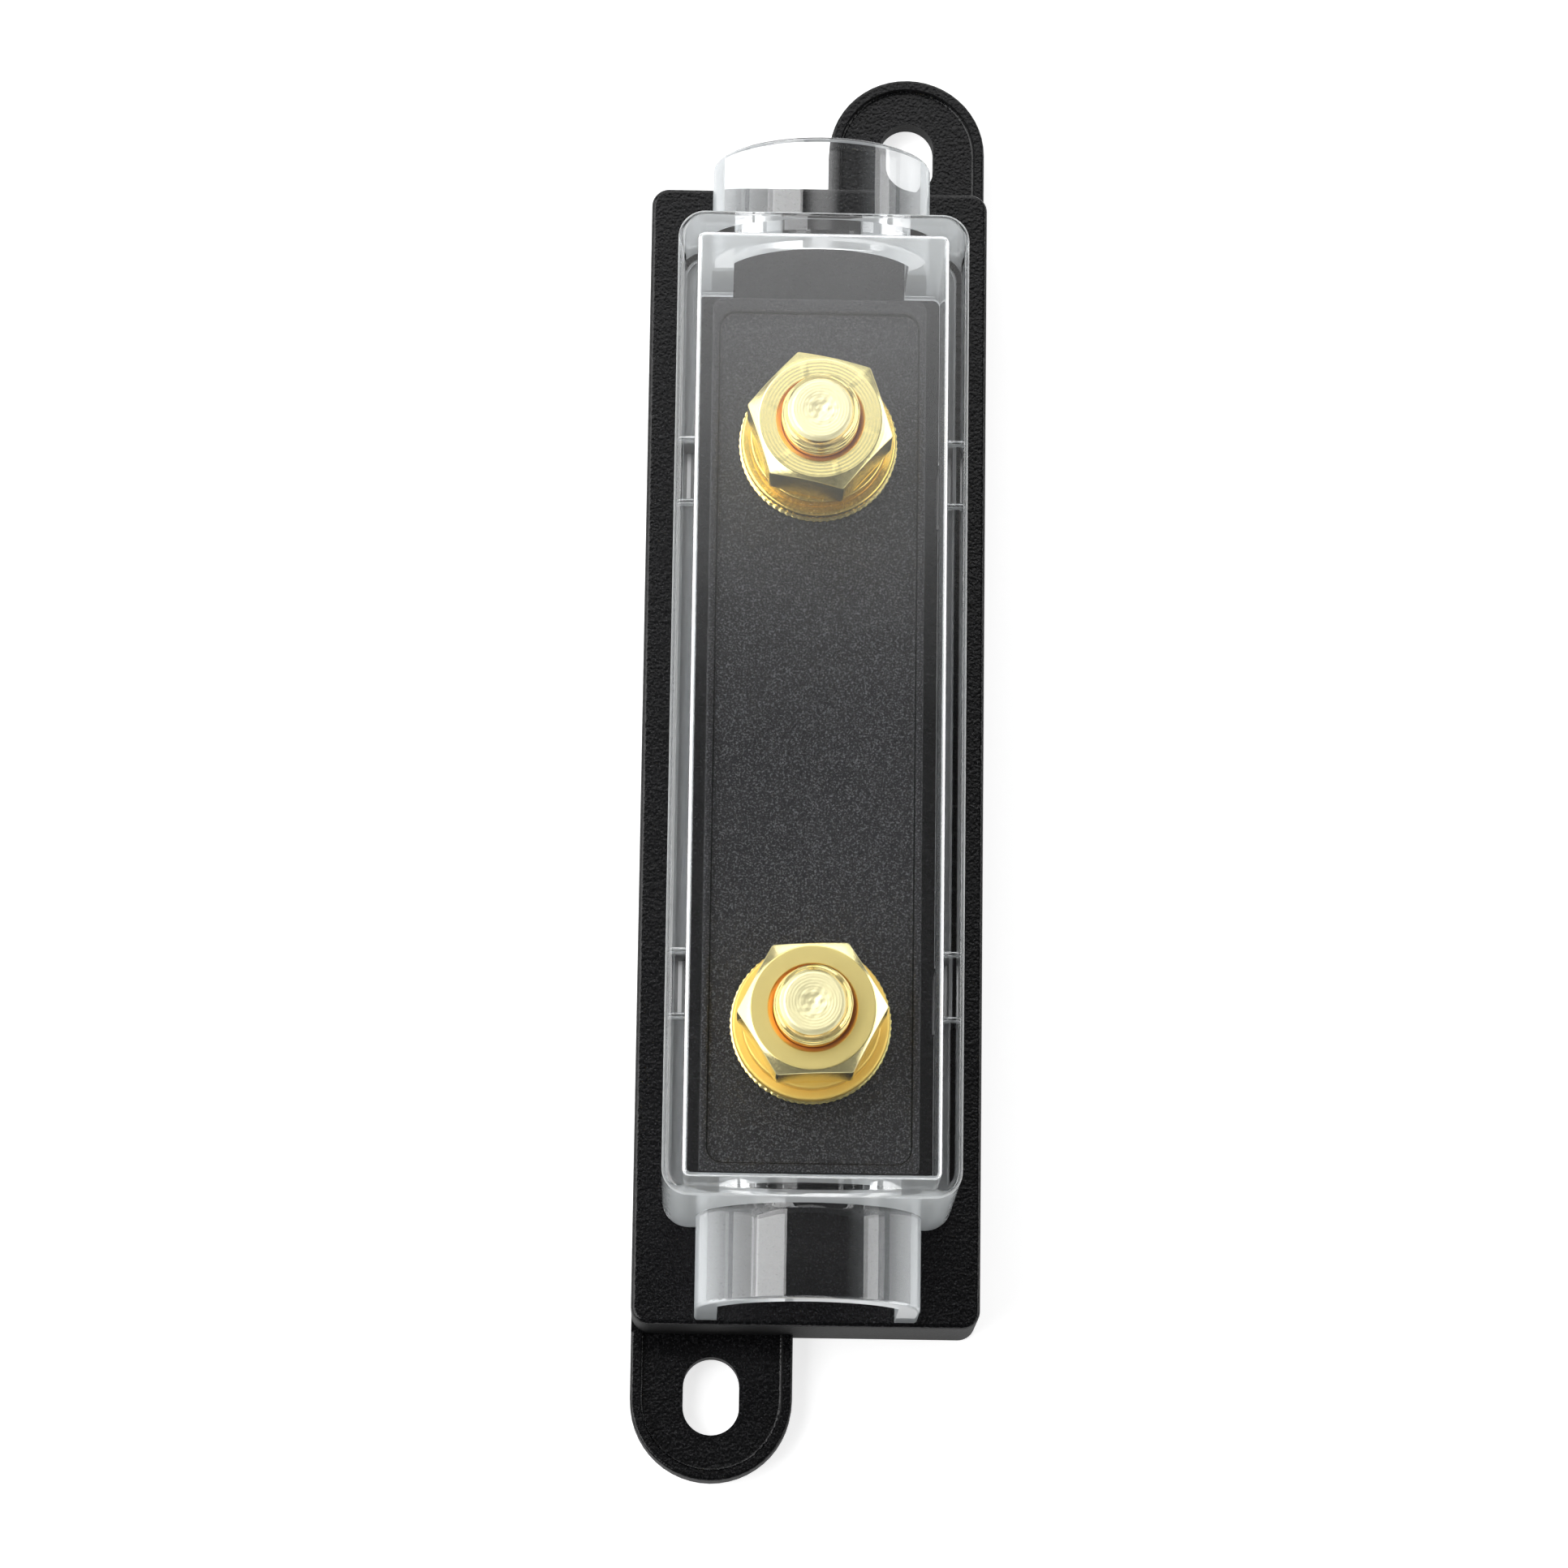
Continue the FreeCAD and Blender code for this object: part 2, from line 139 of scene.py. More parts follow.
def sweepAround(name, outline, angles, centre, crevice, closed):
    # surface of two parameters, the angle and the place along the outline:
    # x = r cos a, y = r sin a, z = h, with r and h read from the outline at that angle
    rows, columns = outline.shape[:2]
    radius = outline[..., 0]
    points = np.stack([radius * np.cos(angles) + centre[0], radius * np.sin(angles) + centre[1],
                       outline[..., 1]], axis=-1).reshape(-1, 3) * millimetre
    grid = np.arange(rows * columns).reshape(rows, columns)
    right = np.roll(grid, -1, axis=1)
    if closed:
        lower, lowerRight, upper, upperRight = grid, right, np.roll(grid, -1, 0), np.roll(right, -1, 0)
    else:
        lower, lowerRight, upper, upperRight = grid[:-1], right[:-1], grid[1:], right[1:]
    quads = np.stack([lower, lowerRight, upperRight, upper], axis=-1).reshape(-1, 4)
    mesh = bpy.data.meshes.new(name)
    mesh.from_pydata(points.tolist(), [], quads.tolist())
    # how much of a crevice each point is in, which the plating's material reads for its roughness and
    # its painted orange reflection
    depths = np.broadcast_to(crevice, (rows, columns)).ravel().astype(np.float32)
    mesh.attributes.new("crevice", "FLOAT", "POINT").data.foreach_set("value", depths)
    mesh.polygons.foreach_set("use_smooth", np.ones(len(quads), bool))
    shell = bmesh.new()
    shell.from_mesh(mesh)
    bmesh.ops.remove_doubles(shell, verts=shell.verts, dist=sweep["mergeWithin"])  # closes the poles
    shell.to_mesh(mesh)
    shell.free()
    piece = bpy.data.objects.new(name, mesh)
    bpy.context.scene.collection.objects.link(piece)
    flat = piece.modifiers.new("flatFacesStayFlat", "WEIGHTED_NORMAL")
    flat.weight = sweep["flatFaceWeight"]
    return piece


# base: glass-filled nylon, moulded against a spark-eroded tool
# the eye gets a near-black body with a fine pebble that catches broad, soft highlights; painted glints
# make the pebble's crests paler, and painted light makes the platform under the cover paler

basePlastic = {
    # platform: painted light, a paler colour for the light that the cover sends onto the platform; it
    # is the same plastic as the body
    "darkest": "#020203", "lightest": "#060607", "platform": "#111113", "paintedGlintColour": "#5A5A5D",
    "cloudsPerMetre": 90.0,
    "grainMm": 0.24,            # pebble size, about twice the real one so that it shows
    "grainDepthMm": 0.20,
    "grainDetail": 3.0, "grainHarshness": 0.55,
    "grainRange": (0.3, 0.7),   # the part of the noise that is used
    # the specks are painted glints, a paler colour on the pebble's crests
    "pitsPerGrain": 0.8, "glintsPerGrain": 1.3,
    "glintRange": (0.50, 0.78),
    "levelRange": (0.5, 0.8), "sideRange": (0.8, 0.2),                  # by the normal's upward share
    "roughness": (0.12, 0.22),  # over the range of the grain
    "platformFromMm": 12.0, "platformRoughness": 0.20,                  # the platform is moulded finer
    "glintShare": (0.14, 1.0), "relief": (0.2, 0.6), "sideRoughness": (0.7, 0.25),  # body, platform
    "ior": 1.53, "specular": 0.24,
}


def sparkedNylon(recipe):
    material, tree = newMaterial("sparkedBlackNylon")
    place = addNode(tree, "ShaderNodeTexCoord").outputs["Object"]
    grainSize = recipe["grainMm"] * millimetre
    grain = addNoise(tree, place, 1 / grainSize, recipe["grainDetail"], recipe["grainHarshness"])
    pits = addNode(tree, "ShaderNodeTexVoronoi", {"Vector": place,
                                                  "Scale": recipe["pitsPerGrain"] / grainSize},
                   feature="SMOOTH_F1").outputs["Distance"]
    normal = splitVector(tree, addNode(tree, "ShaderNodeNewGeometry").outputs["Normal"])
    level = calculate(tree, "ABSOLUTE", normal[2])
    height = splitVector(tree, place)[2]
    start = recipe["platformFromMm"] * millimetre
    end = start + millimetre
    onPlatform = calculate(tree, "MULTIPLY", remap(tree, height, start, end),
                           remap(tree, level, *recipe["levelRange"]))
    strength = remap(tree, onPlatform, 0.0, 1.0, *recipe["relief"])
    bump = bumpFrom(tree, calculate(tree, "ADD", grain, pits), strength, recipe["grainDepthMm"])
    cloud = addNoise(tree, place, recipe["cloudsPerMetre"], detail=2.0)
    colour = mixColours(tree, cloud, linearColour(recipe["darkest"]), linearColour(recipe["lightest"]))
    # painted light: the platform takes the paler colour in place of the light that reaches it under the
    # cover
    colour = mixColours(tree, onPlatform, colour, linearColour(recipe["platform"]))
    # painted highlight: the crests of the pebble are coloured paler, painted glints where they would
    # catch the lamps
    paintedGlints = addNoise(tree, place, recipe["glintsPerGrain"] / grainSize, detail=1.0)
    paintedGlints = remap(tree, paintedGlints, *recipe["glintRange"])
    share = remap(tree, onPlatform, 0.0, 1.0, *recipe["glintShare"])
    paintedGlints = calculate(tree, "MULTIPLY", paintedGlints, share)
    colour = mixColours(tree, paintedGlints, colour, linearColour(recipe["paintedGlintColour"]))
    sheen = remap(tree, grain, *recipe["grainRange"], *recipe["roughness"])
    sheen = calculate(tree, "MULTIPLY_ADD", onPlatform, recipe["platformRoughness"], sheen)
    # the sides were drawn off the tool and are duller,
    # the shallow walls of the platform's recess less so
    dull = remap(tree, height, start, end, *recipe["sideRoughness"])
    sheen = calculate(tree, "MAXIMUM", sheen, remap(tree, level, *recipe["sideRange"], 0.0, dull))
    skin = addNode(tree, "ShaderNodeBsdfPrincipled", {
        "Base Color": colour, "Roughness": sheen, "Normal": bump, "IOR": recipe["ior"],
        "Specular IOR Level": recipe["specular"]})
    addNode(tree, "ShaderNodeOutputMaterial", {"Surface": skin.outputs[0]})
    return material


dress(nodes["base"], sparkedNylon(basePlastic))
print("base dressed")


# cover: polycarbonate, injection moulded against a polished tool
# the eye gets a water-clear shell whose walls and edges pipe white light, with faint mould ripple

coverPlastic = {
    "tint": "#FDFEFF", "ior": 1.585,
    "rippleMm": 9.0, "rippleDepthMm": 0.02, "rippleStrength": 0.5,
    "smearsPerMetre": 160.0, "smearRange": (0.45, 0.75), "roughness": (0.0, 0.03),
    "footTopMm": 10.9, "footBottomMm": 10.4, "footRoughness": 0.6,      # the foot wasn't polished
    "haze": "#DDE1E3", "hazeThrough": 0.5,                              # half is scattered onwards
    "sideHaze": 0.07, "endHaze": 0.37, "footHaze": 0.24,                # the share that is scattered
    "wallRange": (0.95, 0.35),  # by the normal's upward share
    "endRange": (0.3, 0.8),     # by its lengthwise share
    "shroudFromMm": 49.7,       # the shrouds scatter as the end walls do
    "drawMarkMm": 0.35,         # height between the marks that the tool left along the walls
    "drawMarkStretch": 0.02, "drawMarkRange": (0.35, 0.65), "drawMarkShare": (0.3, 1.7),
    "lampShare": 0.6,           # share of the direct light that each face lets in
}


def clearPolycarbonate(recipe):
    material, tree = newMaterial("clearPolycarbonate")
    place = addNode(tree, "ShaderNodeTexCoord").outputs["Object"]
    height = splitVector(tree, place)[2]
    ripple = addNoise(tree, place, 1 / (recipe["rippleMm"] * millimetre), detail=1.0)
    bump = bumpFrom(tree, ripple, recipe["rippleStrength"], recipe["rippleDepthMm"])
    smear = addNoise(tree, place, recipe["smearsPerMetre"], detail=4.0)
    gloss = remap(tree, smear, *recipe["smearRange"], *recipe["roughness"])
    foot = (recipe["footTopMm"] * millimetre, recipe["footBottomMm"] * millimetre)
    gloss = calculate(tree, "MAXIMUM", gloss, remap(tree, height, *foot, 0.0, recipe["footRoughness"]))
    clear = addNode(tree, "ShaderNodeBsdfPrincipled", {
        "Base Color": linearColour(recipe["tint"]), "Roughness": gloss, "Normal": bump,
        "IOR": recipe["ior"], "Transmission Weight": 1.0}).outputs[0]
    # the walls were drawn off the tool, which left level marks and a little haze; the top is clear
    normal = splitVector(tree, addNode(tree, "ShaderNodeNewGeometry").outputs["Normal"])
    upright = remap(tree, calculate(tree, "ABSOLUTE", normal[2]), *recipe["wallRange"])
    endwise = remap(tree, calculate(tree, "ABSOLUTE", normal[1]), *recipe["endRange"])
    along = calculate(tree, "ABSOLUTE", splitVector(tree, place)[1])
    shroud = calculate(tree, "GREATER_THAN", along, recipe["shroudFromMm"] * millimetre)
    endwise = calculate(tree, "MAXIMUM", endwise, shroud)
    share = remap(tree, endwise, 0.0, 1.0, recipe["sideHaze"], recipe["endHaze"])
    stretch = (recipe["drawMarkStretch"], recipe["drawMarkStretch"], 1.0)
    levels = addNode(tree, "ShaderNodeMapping", {"Vector": place, "Scale": stretch}).outputs[0]
    marks = addNoise(tree, levels, 1 / (recipe["drawMarkMm"] * millimetre), detail=3.0)
    marks = remap(tree, marks, *recipe["drawMarkRange"], *recipe["drawMarkShare"])
    marks = addNode(tree, "ShaderNodeMix", {0: endwise, 2: marks, 3: 1.0}).outputs[0]
    wall = calculate(tree, "MULTIPLY", calculate(tree, "MULTIPLY", upright, share), marks)
    haze = calculate(tree, "MAXIMUM", wall, remap(tree, height, *foot, 0.0, recipe["footHaze"]))
    pale = linearColour(recipe["haze"])
    back = addNode(tree, "ShaderNodeBsdfDiffuse", {"Color": pale}).outputs[0]
    onwards = addNode(tree, "ShaderNodeBsdfTranslucent", {"Color": pale}).outputs[0]
    shell = mixShaders(tree, haze, clear, mixShaders(tree, recipe["hazeThrough"], back, onwards))
    # the lamps shine through the shell onto what is inside
    shadow = addNode(tree, "ShaderNodeLightPath").outputs["Is Shadow Ray"]
    passed = addNode(tree, "ShaderNodeBsdfTransparent").outputs[0]
    shell = mixShaders(tree, calculate(tree, "MULTIPLY", shadow, recipe["lampShare"]), shell, passed)
    addNode(tree, "ShaderNodeOutputMaterial", {"Surface": shell})
    return material


dress(nodes["cover"], clearPolycarbonate(coverPlastic))
print("cover dressed")


# metal: turned brass with bright gold plating
# the eye gets a pale yellow mirror, softer on faces,
# with a deeper orange painted into the crevices, a painted reflection of light bouncing between gold
# walls

plating = {
    # crevice: painted reflection, the orange of light that bounces between gold walls in a crevice
    "crevice": "#FFAE55", "creviceRoughness": 0.6,
    "grainDetail": 3.0, "grainRange": (0.3, 0.7), "strength": 0.5,
    "ringShare": 0.35,          # height of the turning marks, as a share of the grain's
    "fadeMm": 0.04,             # over which a faced end begins
}
finishes = {
    "studs": {
        "colour": "#FFEC9E", "roughness": (0.10, 0.22),
        "ringMm": 0.3, "grainMm": 0.35, "reliefMm": 0.02,
        "facedAboveMm": 30.1, "facedRoughness": 0.50, "faced": "#FFF6C4"},
    "nutNear": {
        "colour": "#FFF0B0", "roughness": (0.14, 0.22),
        "ringMm": 0.0, "grainMm": 0.16, "reliefMm": 0.010,
        "facedAboveMm": 26.85, "facedRoughness": 0.40, "faced": "#F4E092"},
    "nutFar": {
        "colour": "#FFF0A8", "roughness": (0.18, 0.26),
        "ringMm": 0.34, "grainMm": 0.4, "reliefMm": 0.005},
    "washersNear": {
        "colour": "#FFDC78", "roughness": (0.45, 0.58),
        "ringMm": 0.0, "grainMm": 0.2, "reliefMm": 0.008},
    "washersFar": {
        "colour": "#FFDC78", "roughness": (0.16, 0.28),
        "ringMm": 0.5, "grainMm": 0.3, "reliefMm": 0.006},
}


def goldPlate(name, recipe, centreY):
    material, tree = newMaterial(name)
    place = addNode(tree, "ShaderNodeTexCoord").outputs["Object"]
    local = addNode(tree, "ShaderNodeMapping", {"Vector": place,
                                                "Location": (0, -centreY * millimetre, 0)}).outputs[0]
    grain = addNoise(tree, local, 1 / (recipe["grainMm"] * millimetre), plating["grainDetail"])
    relief = grain
    if recipe["ringMm"]:
        # turning marks: rings about the stud axis, one per feed of the tool,
        # drawn coarser than real so that they show
        flat = addNode(tree, "ShaderNodeVectorMath", {0: local, 1: (1, 1, 0)},
                       operation="MULTIPLY").outputs[0]
        far = addNode(tree, "ShaderNodeVectorMath", {0: flat}, operation="LENGTH").outputs["Value"]
        turns = calculate(tree, "MULTIPLY", far, 2 * math.pi / (recipe["ringMm"] * millimetre))
        rings = calculate(tree, "SINE", turns)
        relief = calculate(tree, "MULTIPLY_ADD", rings, plating["ringShare"], grain)
    bump = bumpFrom(tree, relief, plating["strength"], recipe["reliefMm"])
    creviceShare = addNode(tree, "ShaderNodeAttribute", attribute_name="crevice").outputs["Fac"]
    # painted reflection: the crevices are coloured deeper orange in place of the light that bounces in
    # them
    colour = mixColours(tree, creviceShare, linearColour(recipe["colour"]), linearColour(plating["crevice"]))
    haze = remap(tree, grain, *plating["grainRange"], *recipe["roughness"])
    dull = calculate(tree, "MULTIPLY", creviceShare, plating["creviceRoughness"])
    haze = calculate(tree, "MAXIMUM", haze, dull)
    if "facedAboveMm" in recipe:
        # an end that was faced off is duller than the rest
        height = splitVector(tree, place)[2]
        start = recipe["facedAboveMm"] * millimetre
        end = start + plating["fadeMm"] * millimetre
        dull = remap(tree, height, start, end, 0.0, recipe["facedRoughness"])
        haze = calculate(tree, "MAXIMUM", haze, dull)
        onFace = calculate(tree, "GREATER_THAN", height, start)
        colour = mixColours(tree, onFace, colour, linearColour(recipe["faced"]))
    metal = addNode(tree, "ShaderNodeBsdfPrincipled", {"Base Color": colour, "Metallic": 1.0,
                                                       "Roughness": haze, "Normal": bump})
    addNode(tree, "ShaderNodeOutputMaterial", {"Surface": metal.outputs[0]})
    return material


# studs: M8 thread rolled on, serrated flange, end faced and dimpled

stud = {
    "at": {"near": -30.0, "far": 30.0},
    "root": (5.5, 6.3), "neck": (4.6, 10.3, 12.3),      # radius and heights, inside the moulding
    "flangeRadius": 8.1, "flange": (16.3, 17.1),        # and its heights
    "teeth": 72, "toothDepth": 0.11, "columnsPerTooth": 4,
    "radius": 3.9, "end": 30.5, "chamfer": 0.95, "faceStep": 0.25,
    "pitch": 1.25, "threadDepth": 0.5, "threadFrom": 0.02, "threadCreviceShare": 0.3,
    "crest": 0.12, "flank": 0.7,                        # in half pitches: half a crest, then a flank
    "shankRows": 120, "chamferRows": 8, "dimpleRows": 24,
    "dimple": (1.9, 0.25),                              # radius and depth
    "dimpleSlope": 0.3, "dimpleCore": 0.3,              # a cone's share of the depth; width of the pit
    "skew": (0.45, 2.2), "lobes": (0.18, 3, 1.0),       # share and angle; share, count and angle
    "dentDepth": 0.018, "dentBias": 2,
    "dents": ((4.1, 1.7, 0.3), (-2.2, 5.3, 1.9), (7.3, -3.9, 4.0), (1.1, -8.7, 2.6)),
}


def studProfile(size):
    # radius and height from the foot of the root up to the middle of the dimple,
    # how much of the thread's depth each row takes, and how far into the dimple it is
    flangeLow, flangeHigh = size["flange"]
    rootRadius, rootLow = size["root"]
    neckRadius, neckLow, neckHigh = size["neck"]
    below = np.array([(0, rootLow), (rootRadius, rootLow), (rootRadius, neckLow), (neckRadius, neckLow),
                      (neckRadius, neckHigh), (rootRadius, neckHigh), (rootRadius, flangeLow),
                      (size["flangeRadius"], flangeLow), (size["flangeRadius"], flangeHigh),
                      (size["radius"], flangeHigh)])
    shoulder = size["end"] - size["chamfer"]
    shank = np.linspace(flangeHigh + size["threadFrom"], shoulder, size["shankRows"])
    chamfer = np.linspace(0, 1, size["chamferRows"] + 1)[1:]
    bowl = np.linspace(0, 1, size["dimpleRows"] + 1)[1:]
    dimpleRadius, dimpleDepth = size["dimple"]
    # the dimple is a cone with a rounder pit in its middle
    slope = size["dimpleSlope"]
    sunk = dimpleDepth * (slope * bowl + (1 - slope) * np.exp(-((1 - bowl) / size["dimpleCore"]) ** 2))
    radius = np.concatenate([below[:, 0], np.full(len(shank), size["radius"]),
                             size["radius"] - chamfer * size["chamfer"],
                             [size["radius"] - size["chamfer"] - size["faceStep"], dimpleRadius],
                             dimpleRadius * (1 - bowl)])
    height = np.concatenate([below[:, 1], shank, shoulder + chamfer * size["chamfer"],
                             [size["end"], size["end"]], size["end"] - sunk])
    thread = np.zeros(len(radius))
    top = len(below) + len(shank)
    thread[len(below):top] = 1
    thread[top:top + len(chamfer)] = 1 - chamfer
    return radius, height, thread, bowl


def makeStud(name, size, centreY):
    # the thread takes depth * v from the radius, v being a flattened triangle wave of
    # (height / pitch - turn), and the flange's rim takes a wave of its teeth
    radius, height, thread, bowl = studProfile(size)
    angles = np.linspace(0, 2 * np.pi, size["teeth"] * size["columnsPerTooth"], endpoint=False)
    turn = angles / (2 * np.pi)
    wave = 2 * np.abs((height[:, None] / size["pitch"] - turn) % 1 - 0.5)
    vee = np.clip((wave - size["crest"]) / size["flank"], 0, 1)
    tooth = 2 * np.abs((turn * size["teeth"]) % 1 - 0.5)
    onRim = (radius == size["flangeRadius"]).astype(float)
    grid = (radius[:, None] - thread[:, None] * size["threadDepth"] * vee
            - onRim[:, None] * size["toothDepth"] * tooth)
    # the dimple is a hammered one: deeper towards one side, by the cosine of the angle, and lobed
    level = np.broadcast_to(height[:, None], grid.shape).copy()
    fall = size["end"] - level[-len(bowl):]
    skew, skewAngle = size["skew"]
    lobe, lobeCount, lobeAngle = size["lobes"]
    lopsided = skew * np.cos(angles - skewAngle) + lobe * np.cos(lobeCount * angles + lobeAngle)
    level[-len(bowl):] -= fall * lopsided * (1 - bowl[:, None])
    # and dented: four plane waves sin(k . (x, y) + phase), in mm, that fade towards the rim
    out = 1 - bowl[:, None]
    reach = size["dimple"][0] * out
    x, y = reach * np.cos(angles), reach * np.sin(angles)
    dents = sum(np.sin(kx * x + ky * y + phase) for kx, ky, phase in size["dents"])
    level[-len(bowl):] += size["dentDepth"] * (dents - size["dentBias"]) * (1 - out ** 2)
    outline = np.stack([grid, level], axis=-1)
    # the thread's grooves take part of the painted orange reflection
    crevice = thread[:, None] * vee * size["threadCreviceShare"]
    return sweepAround(name, outline, angles, (0, centreY), crevice, closed=False)


for place, centreY in stud["at"].items():
    end = place.capitalize()
    piece = makeStud("threadedStud" + end, stud, centreY)
    dress(piece, goldPlate("goldPlatedStud" + end, finishes["studs"], centreY))
    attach(piece, "base")
    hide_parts("stud_" + place)
print("studs made")


# nuts: hexagon, 13 mm across flats, chamfered both sides, countersunk

nut = {
    "acrossFlats": 13.0, "low": 20.5, "high": 26.9, "crownRadius": 6.15, "chamferAngle": 30.0,
    "bore": 3.95, "countersink": 4.45, "cornerRadius": 0.35,
    "flatColumns": 17, "cornerColumns": 9,
    "cuts": (0.08, 0.1, 0.1, 0.08, 0.05, 0.02, 0.02), "cutSteps": 5,    # at the outline's corners
    "creviceFrom": 0.02, "creviceOver": 0.1,
    "turn": {"near": 2.6, "far": -11.7},
}


def makeNut(name, size, centreY, turn):
    # the rim follows a hexagon with rounded corners: a / cos(p) on a flat, p measured from its middle,
    # and an arc of cornerRadius at each corner; every angle has its own closed outline,
    # up the outside, over the chamfer and the top face, down the countersink and the bore
    half = size["acrossFlats"] / 2
    small = size["cornerRadius"]
    halfSide = math.radians(30)     # half the angle that one of the six sides takes
    tangent = math.atan((half - small) * math.tan(halfSide) / half)
    sector = np.concatenate([np.linspace(-tangent, tangent, size["flatColumns"]),
                             np.linspace(tangent, 2 * halfSide - tangent, size["cornerColumns"])[1:-1]])
    fromFlat = np.tile(sector, 6)
    angles = fromFlat + np.repeat(np.arange(6) * 2 * halfSide, len(sector)) + halfSide
    fromCorner = halfSide - np.abs(np.where(fromFlat > halfSide, fromFlat - 2 * halfSide, fromFlat))
    reach = (half - small) / math.cos(halfSide)
    onFlat = half / np.cos(fromFlat)
    aside = reach * np.sin(fromCorner)
    onArc = reach * np.cos(fromCorner) + np.sqrt(np.maximum(small ** 2 - aside ** 2, 0))
    rim = np.where(np.abs(fromFlat) <= tangent, onFlat, onArc)
    drop = (rim - size["crownRadius"]) * math.tan(math.radians(size["chamferAngle"]))
    one = np.ones_like(rim)
    sink = size["countersink"] - size["bore"]
    low, high = size["low"], size["high"]
    crown, bore, mouth = size["crownRadius"], size["bore"], size["countersink"]
    corners = np.array([
        (mouth * one, low * one), (crown * one, low * one), (rim, low + drop), (rim, high - drop),
        (crown * one, high * one), (mouth * one, high * one), (bore * one, (high - sink) * one),
        (bore * one, (low + sink) * one), (mouth * one, low * one)]).transpose(0, 2, 1)
    outline = softenCorners(corners, size["cuts"], size["cutSteps"])[:-1]
    # the countersink's mouth takes the painted orange reflection
    crevice = np.clip((mouth + size["creviceFrom"] - outline[..., 0]) / size["creviceOver"], 0, 1)
    return sweepAround(name, outline, angles + math.radians(turn), (0, centreY), crevice, closed=True)


for place, centreY in stud["at"].items():
    end = place.capitalize()
    piece = makeNut("hexNut" + end, nut, centreY, nut["turn"][place])
    dress(piece, goldPlate("goldPlatedNut" + end, finishes["nut" + end], centreY))
    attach(piece, "nut_" + place)
    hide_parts("nut_" + place)
    washerGold = goldPlate("goldPlatedWasher" + end, finishes["washers" + end], centreY)
    dress(nodes["washer_" + place], washerGold)
    dress(nodes["spring_washer_" + place], washerGold)
print("nuts made")


# stage: white floor, and a tent that is white to the camera but dim in mirrors,
# with one bright cloth high over the far end

stage = {
    "floorColour": "#C4C4C4", "floorSize": 6.0, "floorGlow": 0.72,
    "tentLevel": 0.13,
    "clothLevel": 2.2, "clothTowards": (0.0, 0.616, 0.788), "clothEdges": (0.900, 0.950),
}


def seenByCamera(tree, bounces):
    # 1 for a ray from the camera, and for one that was mirrored or let through since,
    # unless one of the named bounces is in its past
    path = addNode(tree, "ShaderNodeLightPath").outputs
    turned = path[bounces[0]]
    for name in bounces[1:]:
        turned = calculate(tree, "ADD", turned, path[name])
    straight = calculate(tree, "LESS_THAN", turned, 0.5)    # the depths are whole numbers
    passing = calculate(tree, "MAXIMUM", path["Is Transmission Ray"], path["Is Glossy Ray"])
    through = calculate(tree, "MULTIPLY", passing, straight)
    return calculate(tree, "MAXIMUM", path["Is Camera Ray"], through)


def makeFloor(size):
    half = size["floorSize"] / 2
    mesh = bpy.data.meshes.new("floor")
    corners = [(-half, -half, 0), (half, -half, 0), (half, half, 0), (-half, half, 0)]
    mesh.from_pydata(corners, [], [(0, 1, 2, 3)])
    floor = bpy.data.objects.new("floor", mesh)
    bpy.context.scene.collection.objects.link(floor)
    material, tree = newMaterial("whitePaperSweep")
    white = linearColour(size["floorColour"])
    paper = addNode(tree, "ShaderNodeBsdfDiffuse", {"Color": white}).outputs[0]
    # the glow shows to the camera, in mirrors and through the cover, but lights nothing dull
    lift = calculate(tree, "MULTIPLY", seenByCamera(tree, ["Diffuse Depth"]), size["floorGlow"])
    glow = addNode(tree, "ShaderNodeEmission", {"Strength": lift}).outputs[0]
    both = addNode(tree, "ShaderNodeAddShader", {0: paper, 1: glow}).outputs[0]
    addNode(tree, "ShaderNodeOutputMaterial", {"Surface": both})
    dress(floor, material)


def makeTent(size):
    world = bpy.data.worlds.new("whiteTent")
    world.use_nodes = True
    tree = world.node_tree
    tree.nodes.clear()
    towards = addNode(tree, "ShaderNodeTexCoord").outputs["Generated"]
    along = addNode(tree, "ShaderNodeVectorMath", {0: towards, 1: size["clothTowards"]},
                    operation="DOT_PRODUCT").outputs["Value"]
    bright = size["tentLevel"] + size["clothLevel"]
    cloth = remap(tree, along, *size["clothEdges"], size["tentLevel"], bright, "SMOOTHSTEP")
    # white to the camera and through the cover, and not in mirrors
    seen = seenByCamera(tree, ["Diffuse Depth", "Glossy Depth"])
    strength = addNode(tree, "ShaderNodeMix", {0: seen, 2: cloth, 3: 1.0}).outputs[0]
    sky = addNode(tree, "ShaderNodeBackground", {"Strength": strength}).outputs[0]
    addNode(tree, "ShaderNodeOutputWorld", {"Surface": sky})
    bpy.context.scene.world = world


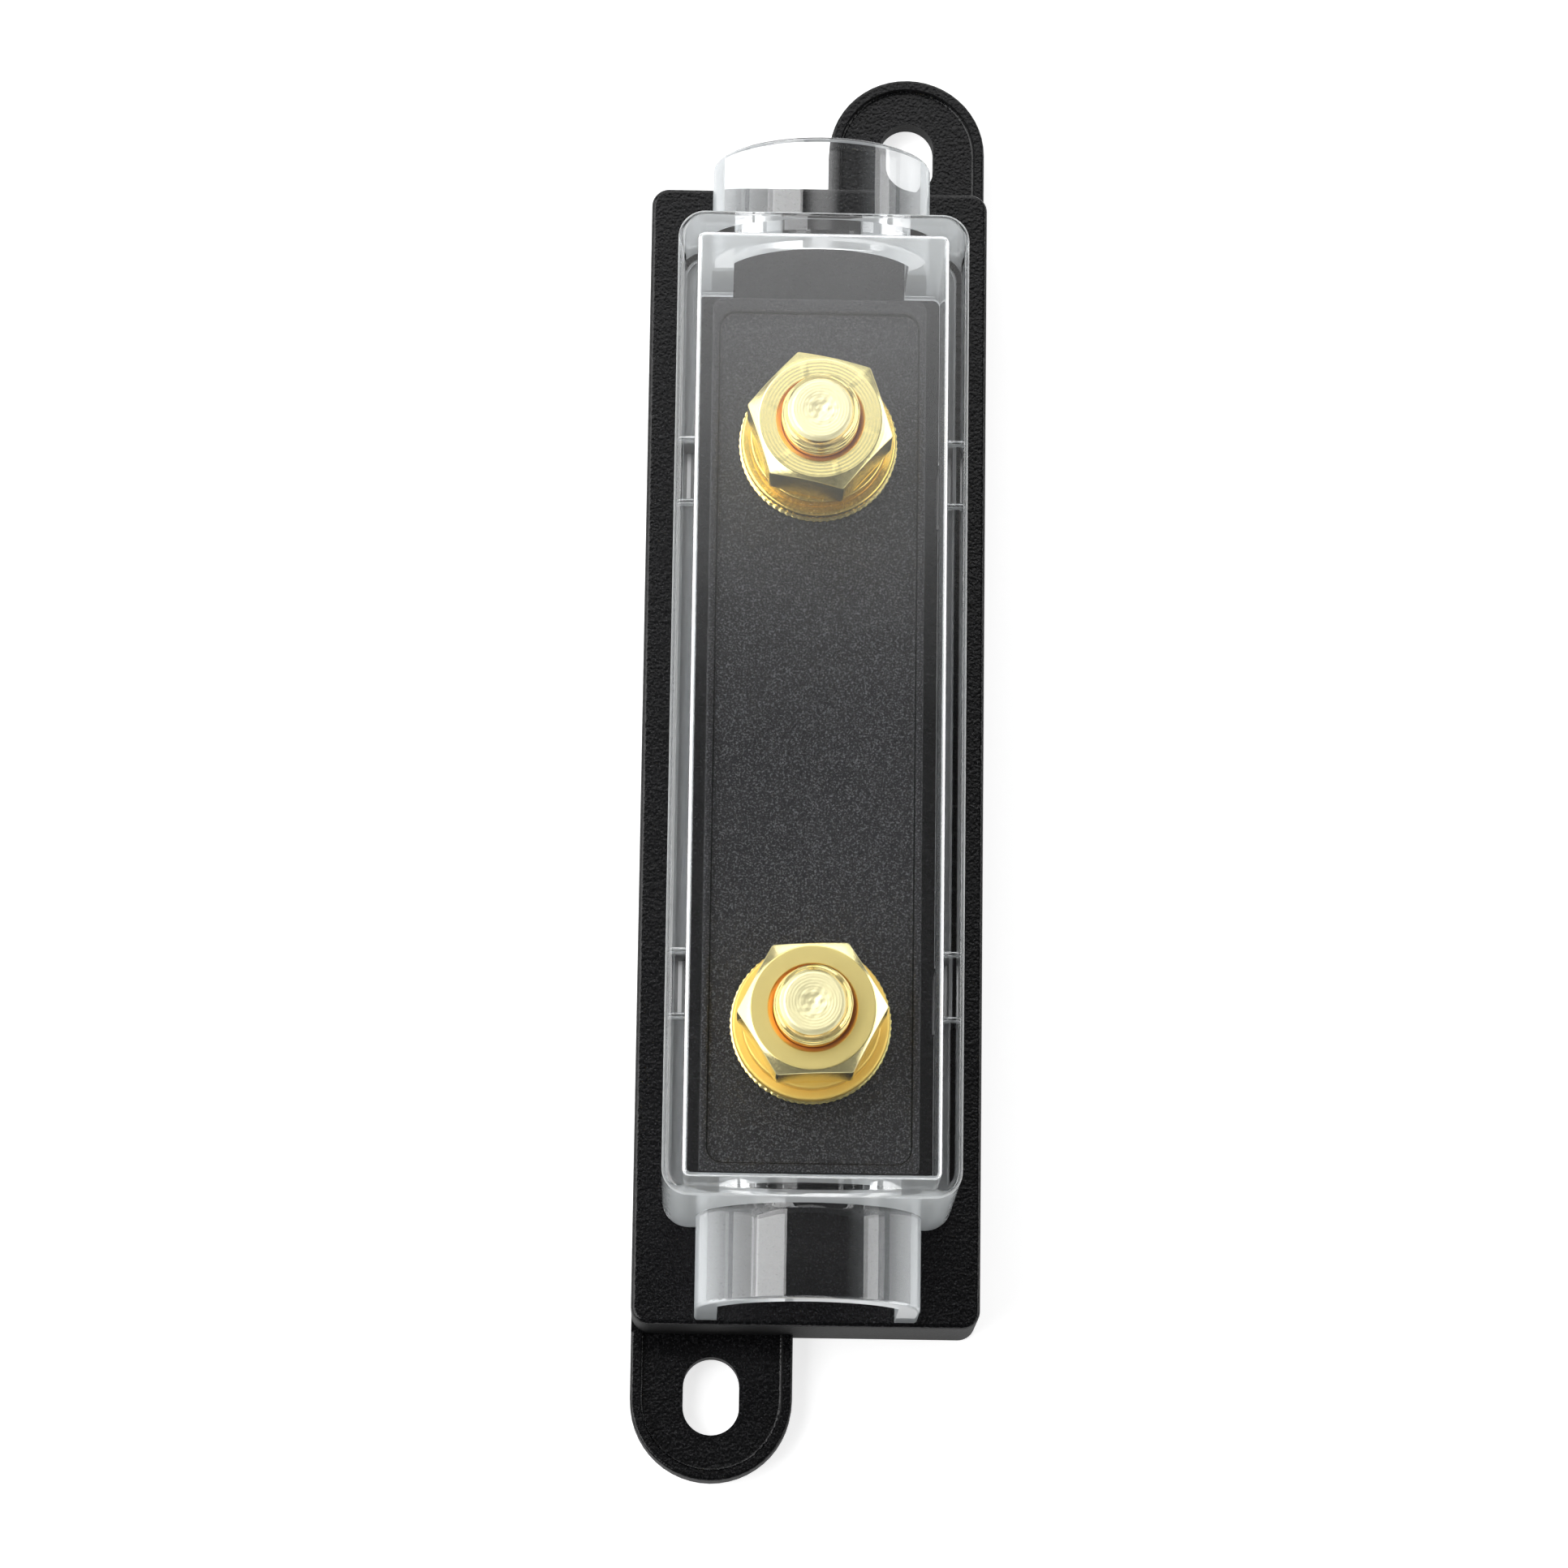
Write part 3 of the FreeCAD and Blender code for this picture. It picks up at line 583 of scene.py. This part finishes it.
lampsLookAt = (0, 0, 0.02)      # the middle of the cover
lamps = {
    # name: place, (width, height), brightness against white paper
    "overheadSoftbox": ((-0.36, 0.04, 0.47), (0.80, 0.33), 4.6),
    "leftSoftbox": ((-0.57, 0.02, 0.25), (0.80, 0.34), 2.2),
    "rightSoftbox": ((0.58, 0.0, 0.28), (0.90, 0.20), 3.4),
    "farSoftbox": ((0.04, 0.64, 0.30), (0.80, 0.20), 2.6),
}


def makeLamp(name, at, size, brightness):
    # an area lamp's watts for that brightness are pi * area * brightness
    light = bpy.data.lights.new(name, "AREA")
    light.shape = "RECTANGLE"
    light.size, light.size_y = size
    light.energy = math.pi * size[0] * size[1] * brightness
    lamp = bpy.data.objects.new(name, light)
    bpy.context.scene.collection.objects.link(lamp)
    back = np.array(at) - np.array(lampsLookAt)
    back = back / np.linalg.norm(back)
    side = np.cross((0, 0, 1), back)
    side = side / np.linalg.norm(side)
    turn = np.eye(4)
    turn[:3, 0], turn[:3, 1], turn[:3, 2], turn[:3, 3] = side, np.cross(back, side), back, at
    lamp.matrix_world = Matrix(turn.tolist())


makeFloor(stage)
makeTent(stage)
for name, (at, size, brightness) in lamps.items():
    makeLamp(name, at, size, brightness)
print("stage set")


# camera: high over the near end, long lens, as in the photograph

view = {
    "at": (-0.011551, -0.125014, 0.579532),
    "right": (0.99962758, 0.01227631, 0.02437193),
    "up": (-0.01722897, 0.9765105, 0.21477991),
    "along": (0.02116275, 0.21511983, -0.97635833),
    "lens": 130.803, "sensor": 36.0, "shift": (-0.0232933, -0.0260561),
    "nearest": 0.01,
}


def makeCamera(size):
    lens = bpy.data.cameras.new("camera")
    lens.sensor_width = size["sensor"]
    lens.lens = size["lens"]
    lens.shift_x, lens.shift_y = size["shift"]
    lens.clip_start = size["nearest"]
    camera = bpy.data.objects.new("camera", lens)
    bpy.context.scene.collection.objects.link(camera)
    turn = np.eye(4)
    turn[:3, 0], turn[:3, 1] = size["right"], size["up"]
    turn[:3, 2], turn[:3, 3] = -np.array(size["along"]), size["at"]
    camera.matrix_world = Matrix(turn.tolist())
    bpy.context.scene.camera = camera


makeCamera(view)
bpy.context.scene.view_settings.view_transform = "Standard"
print("camera set")
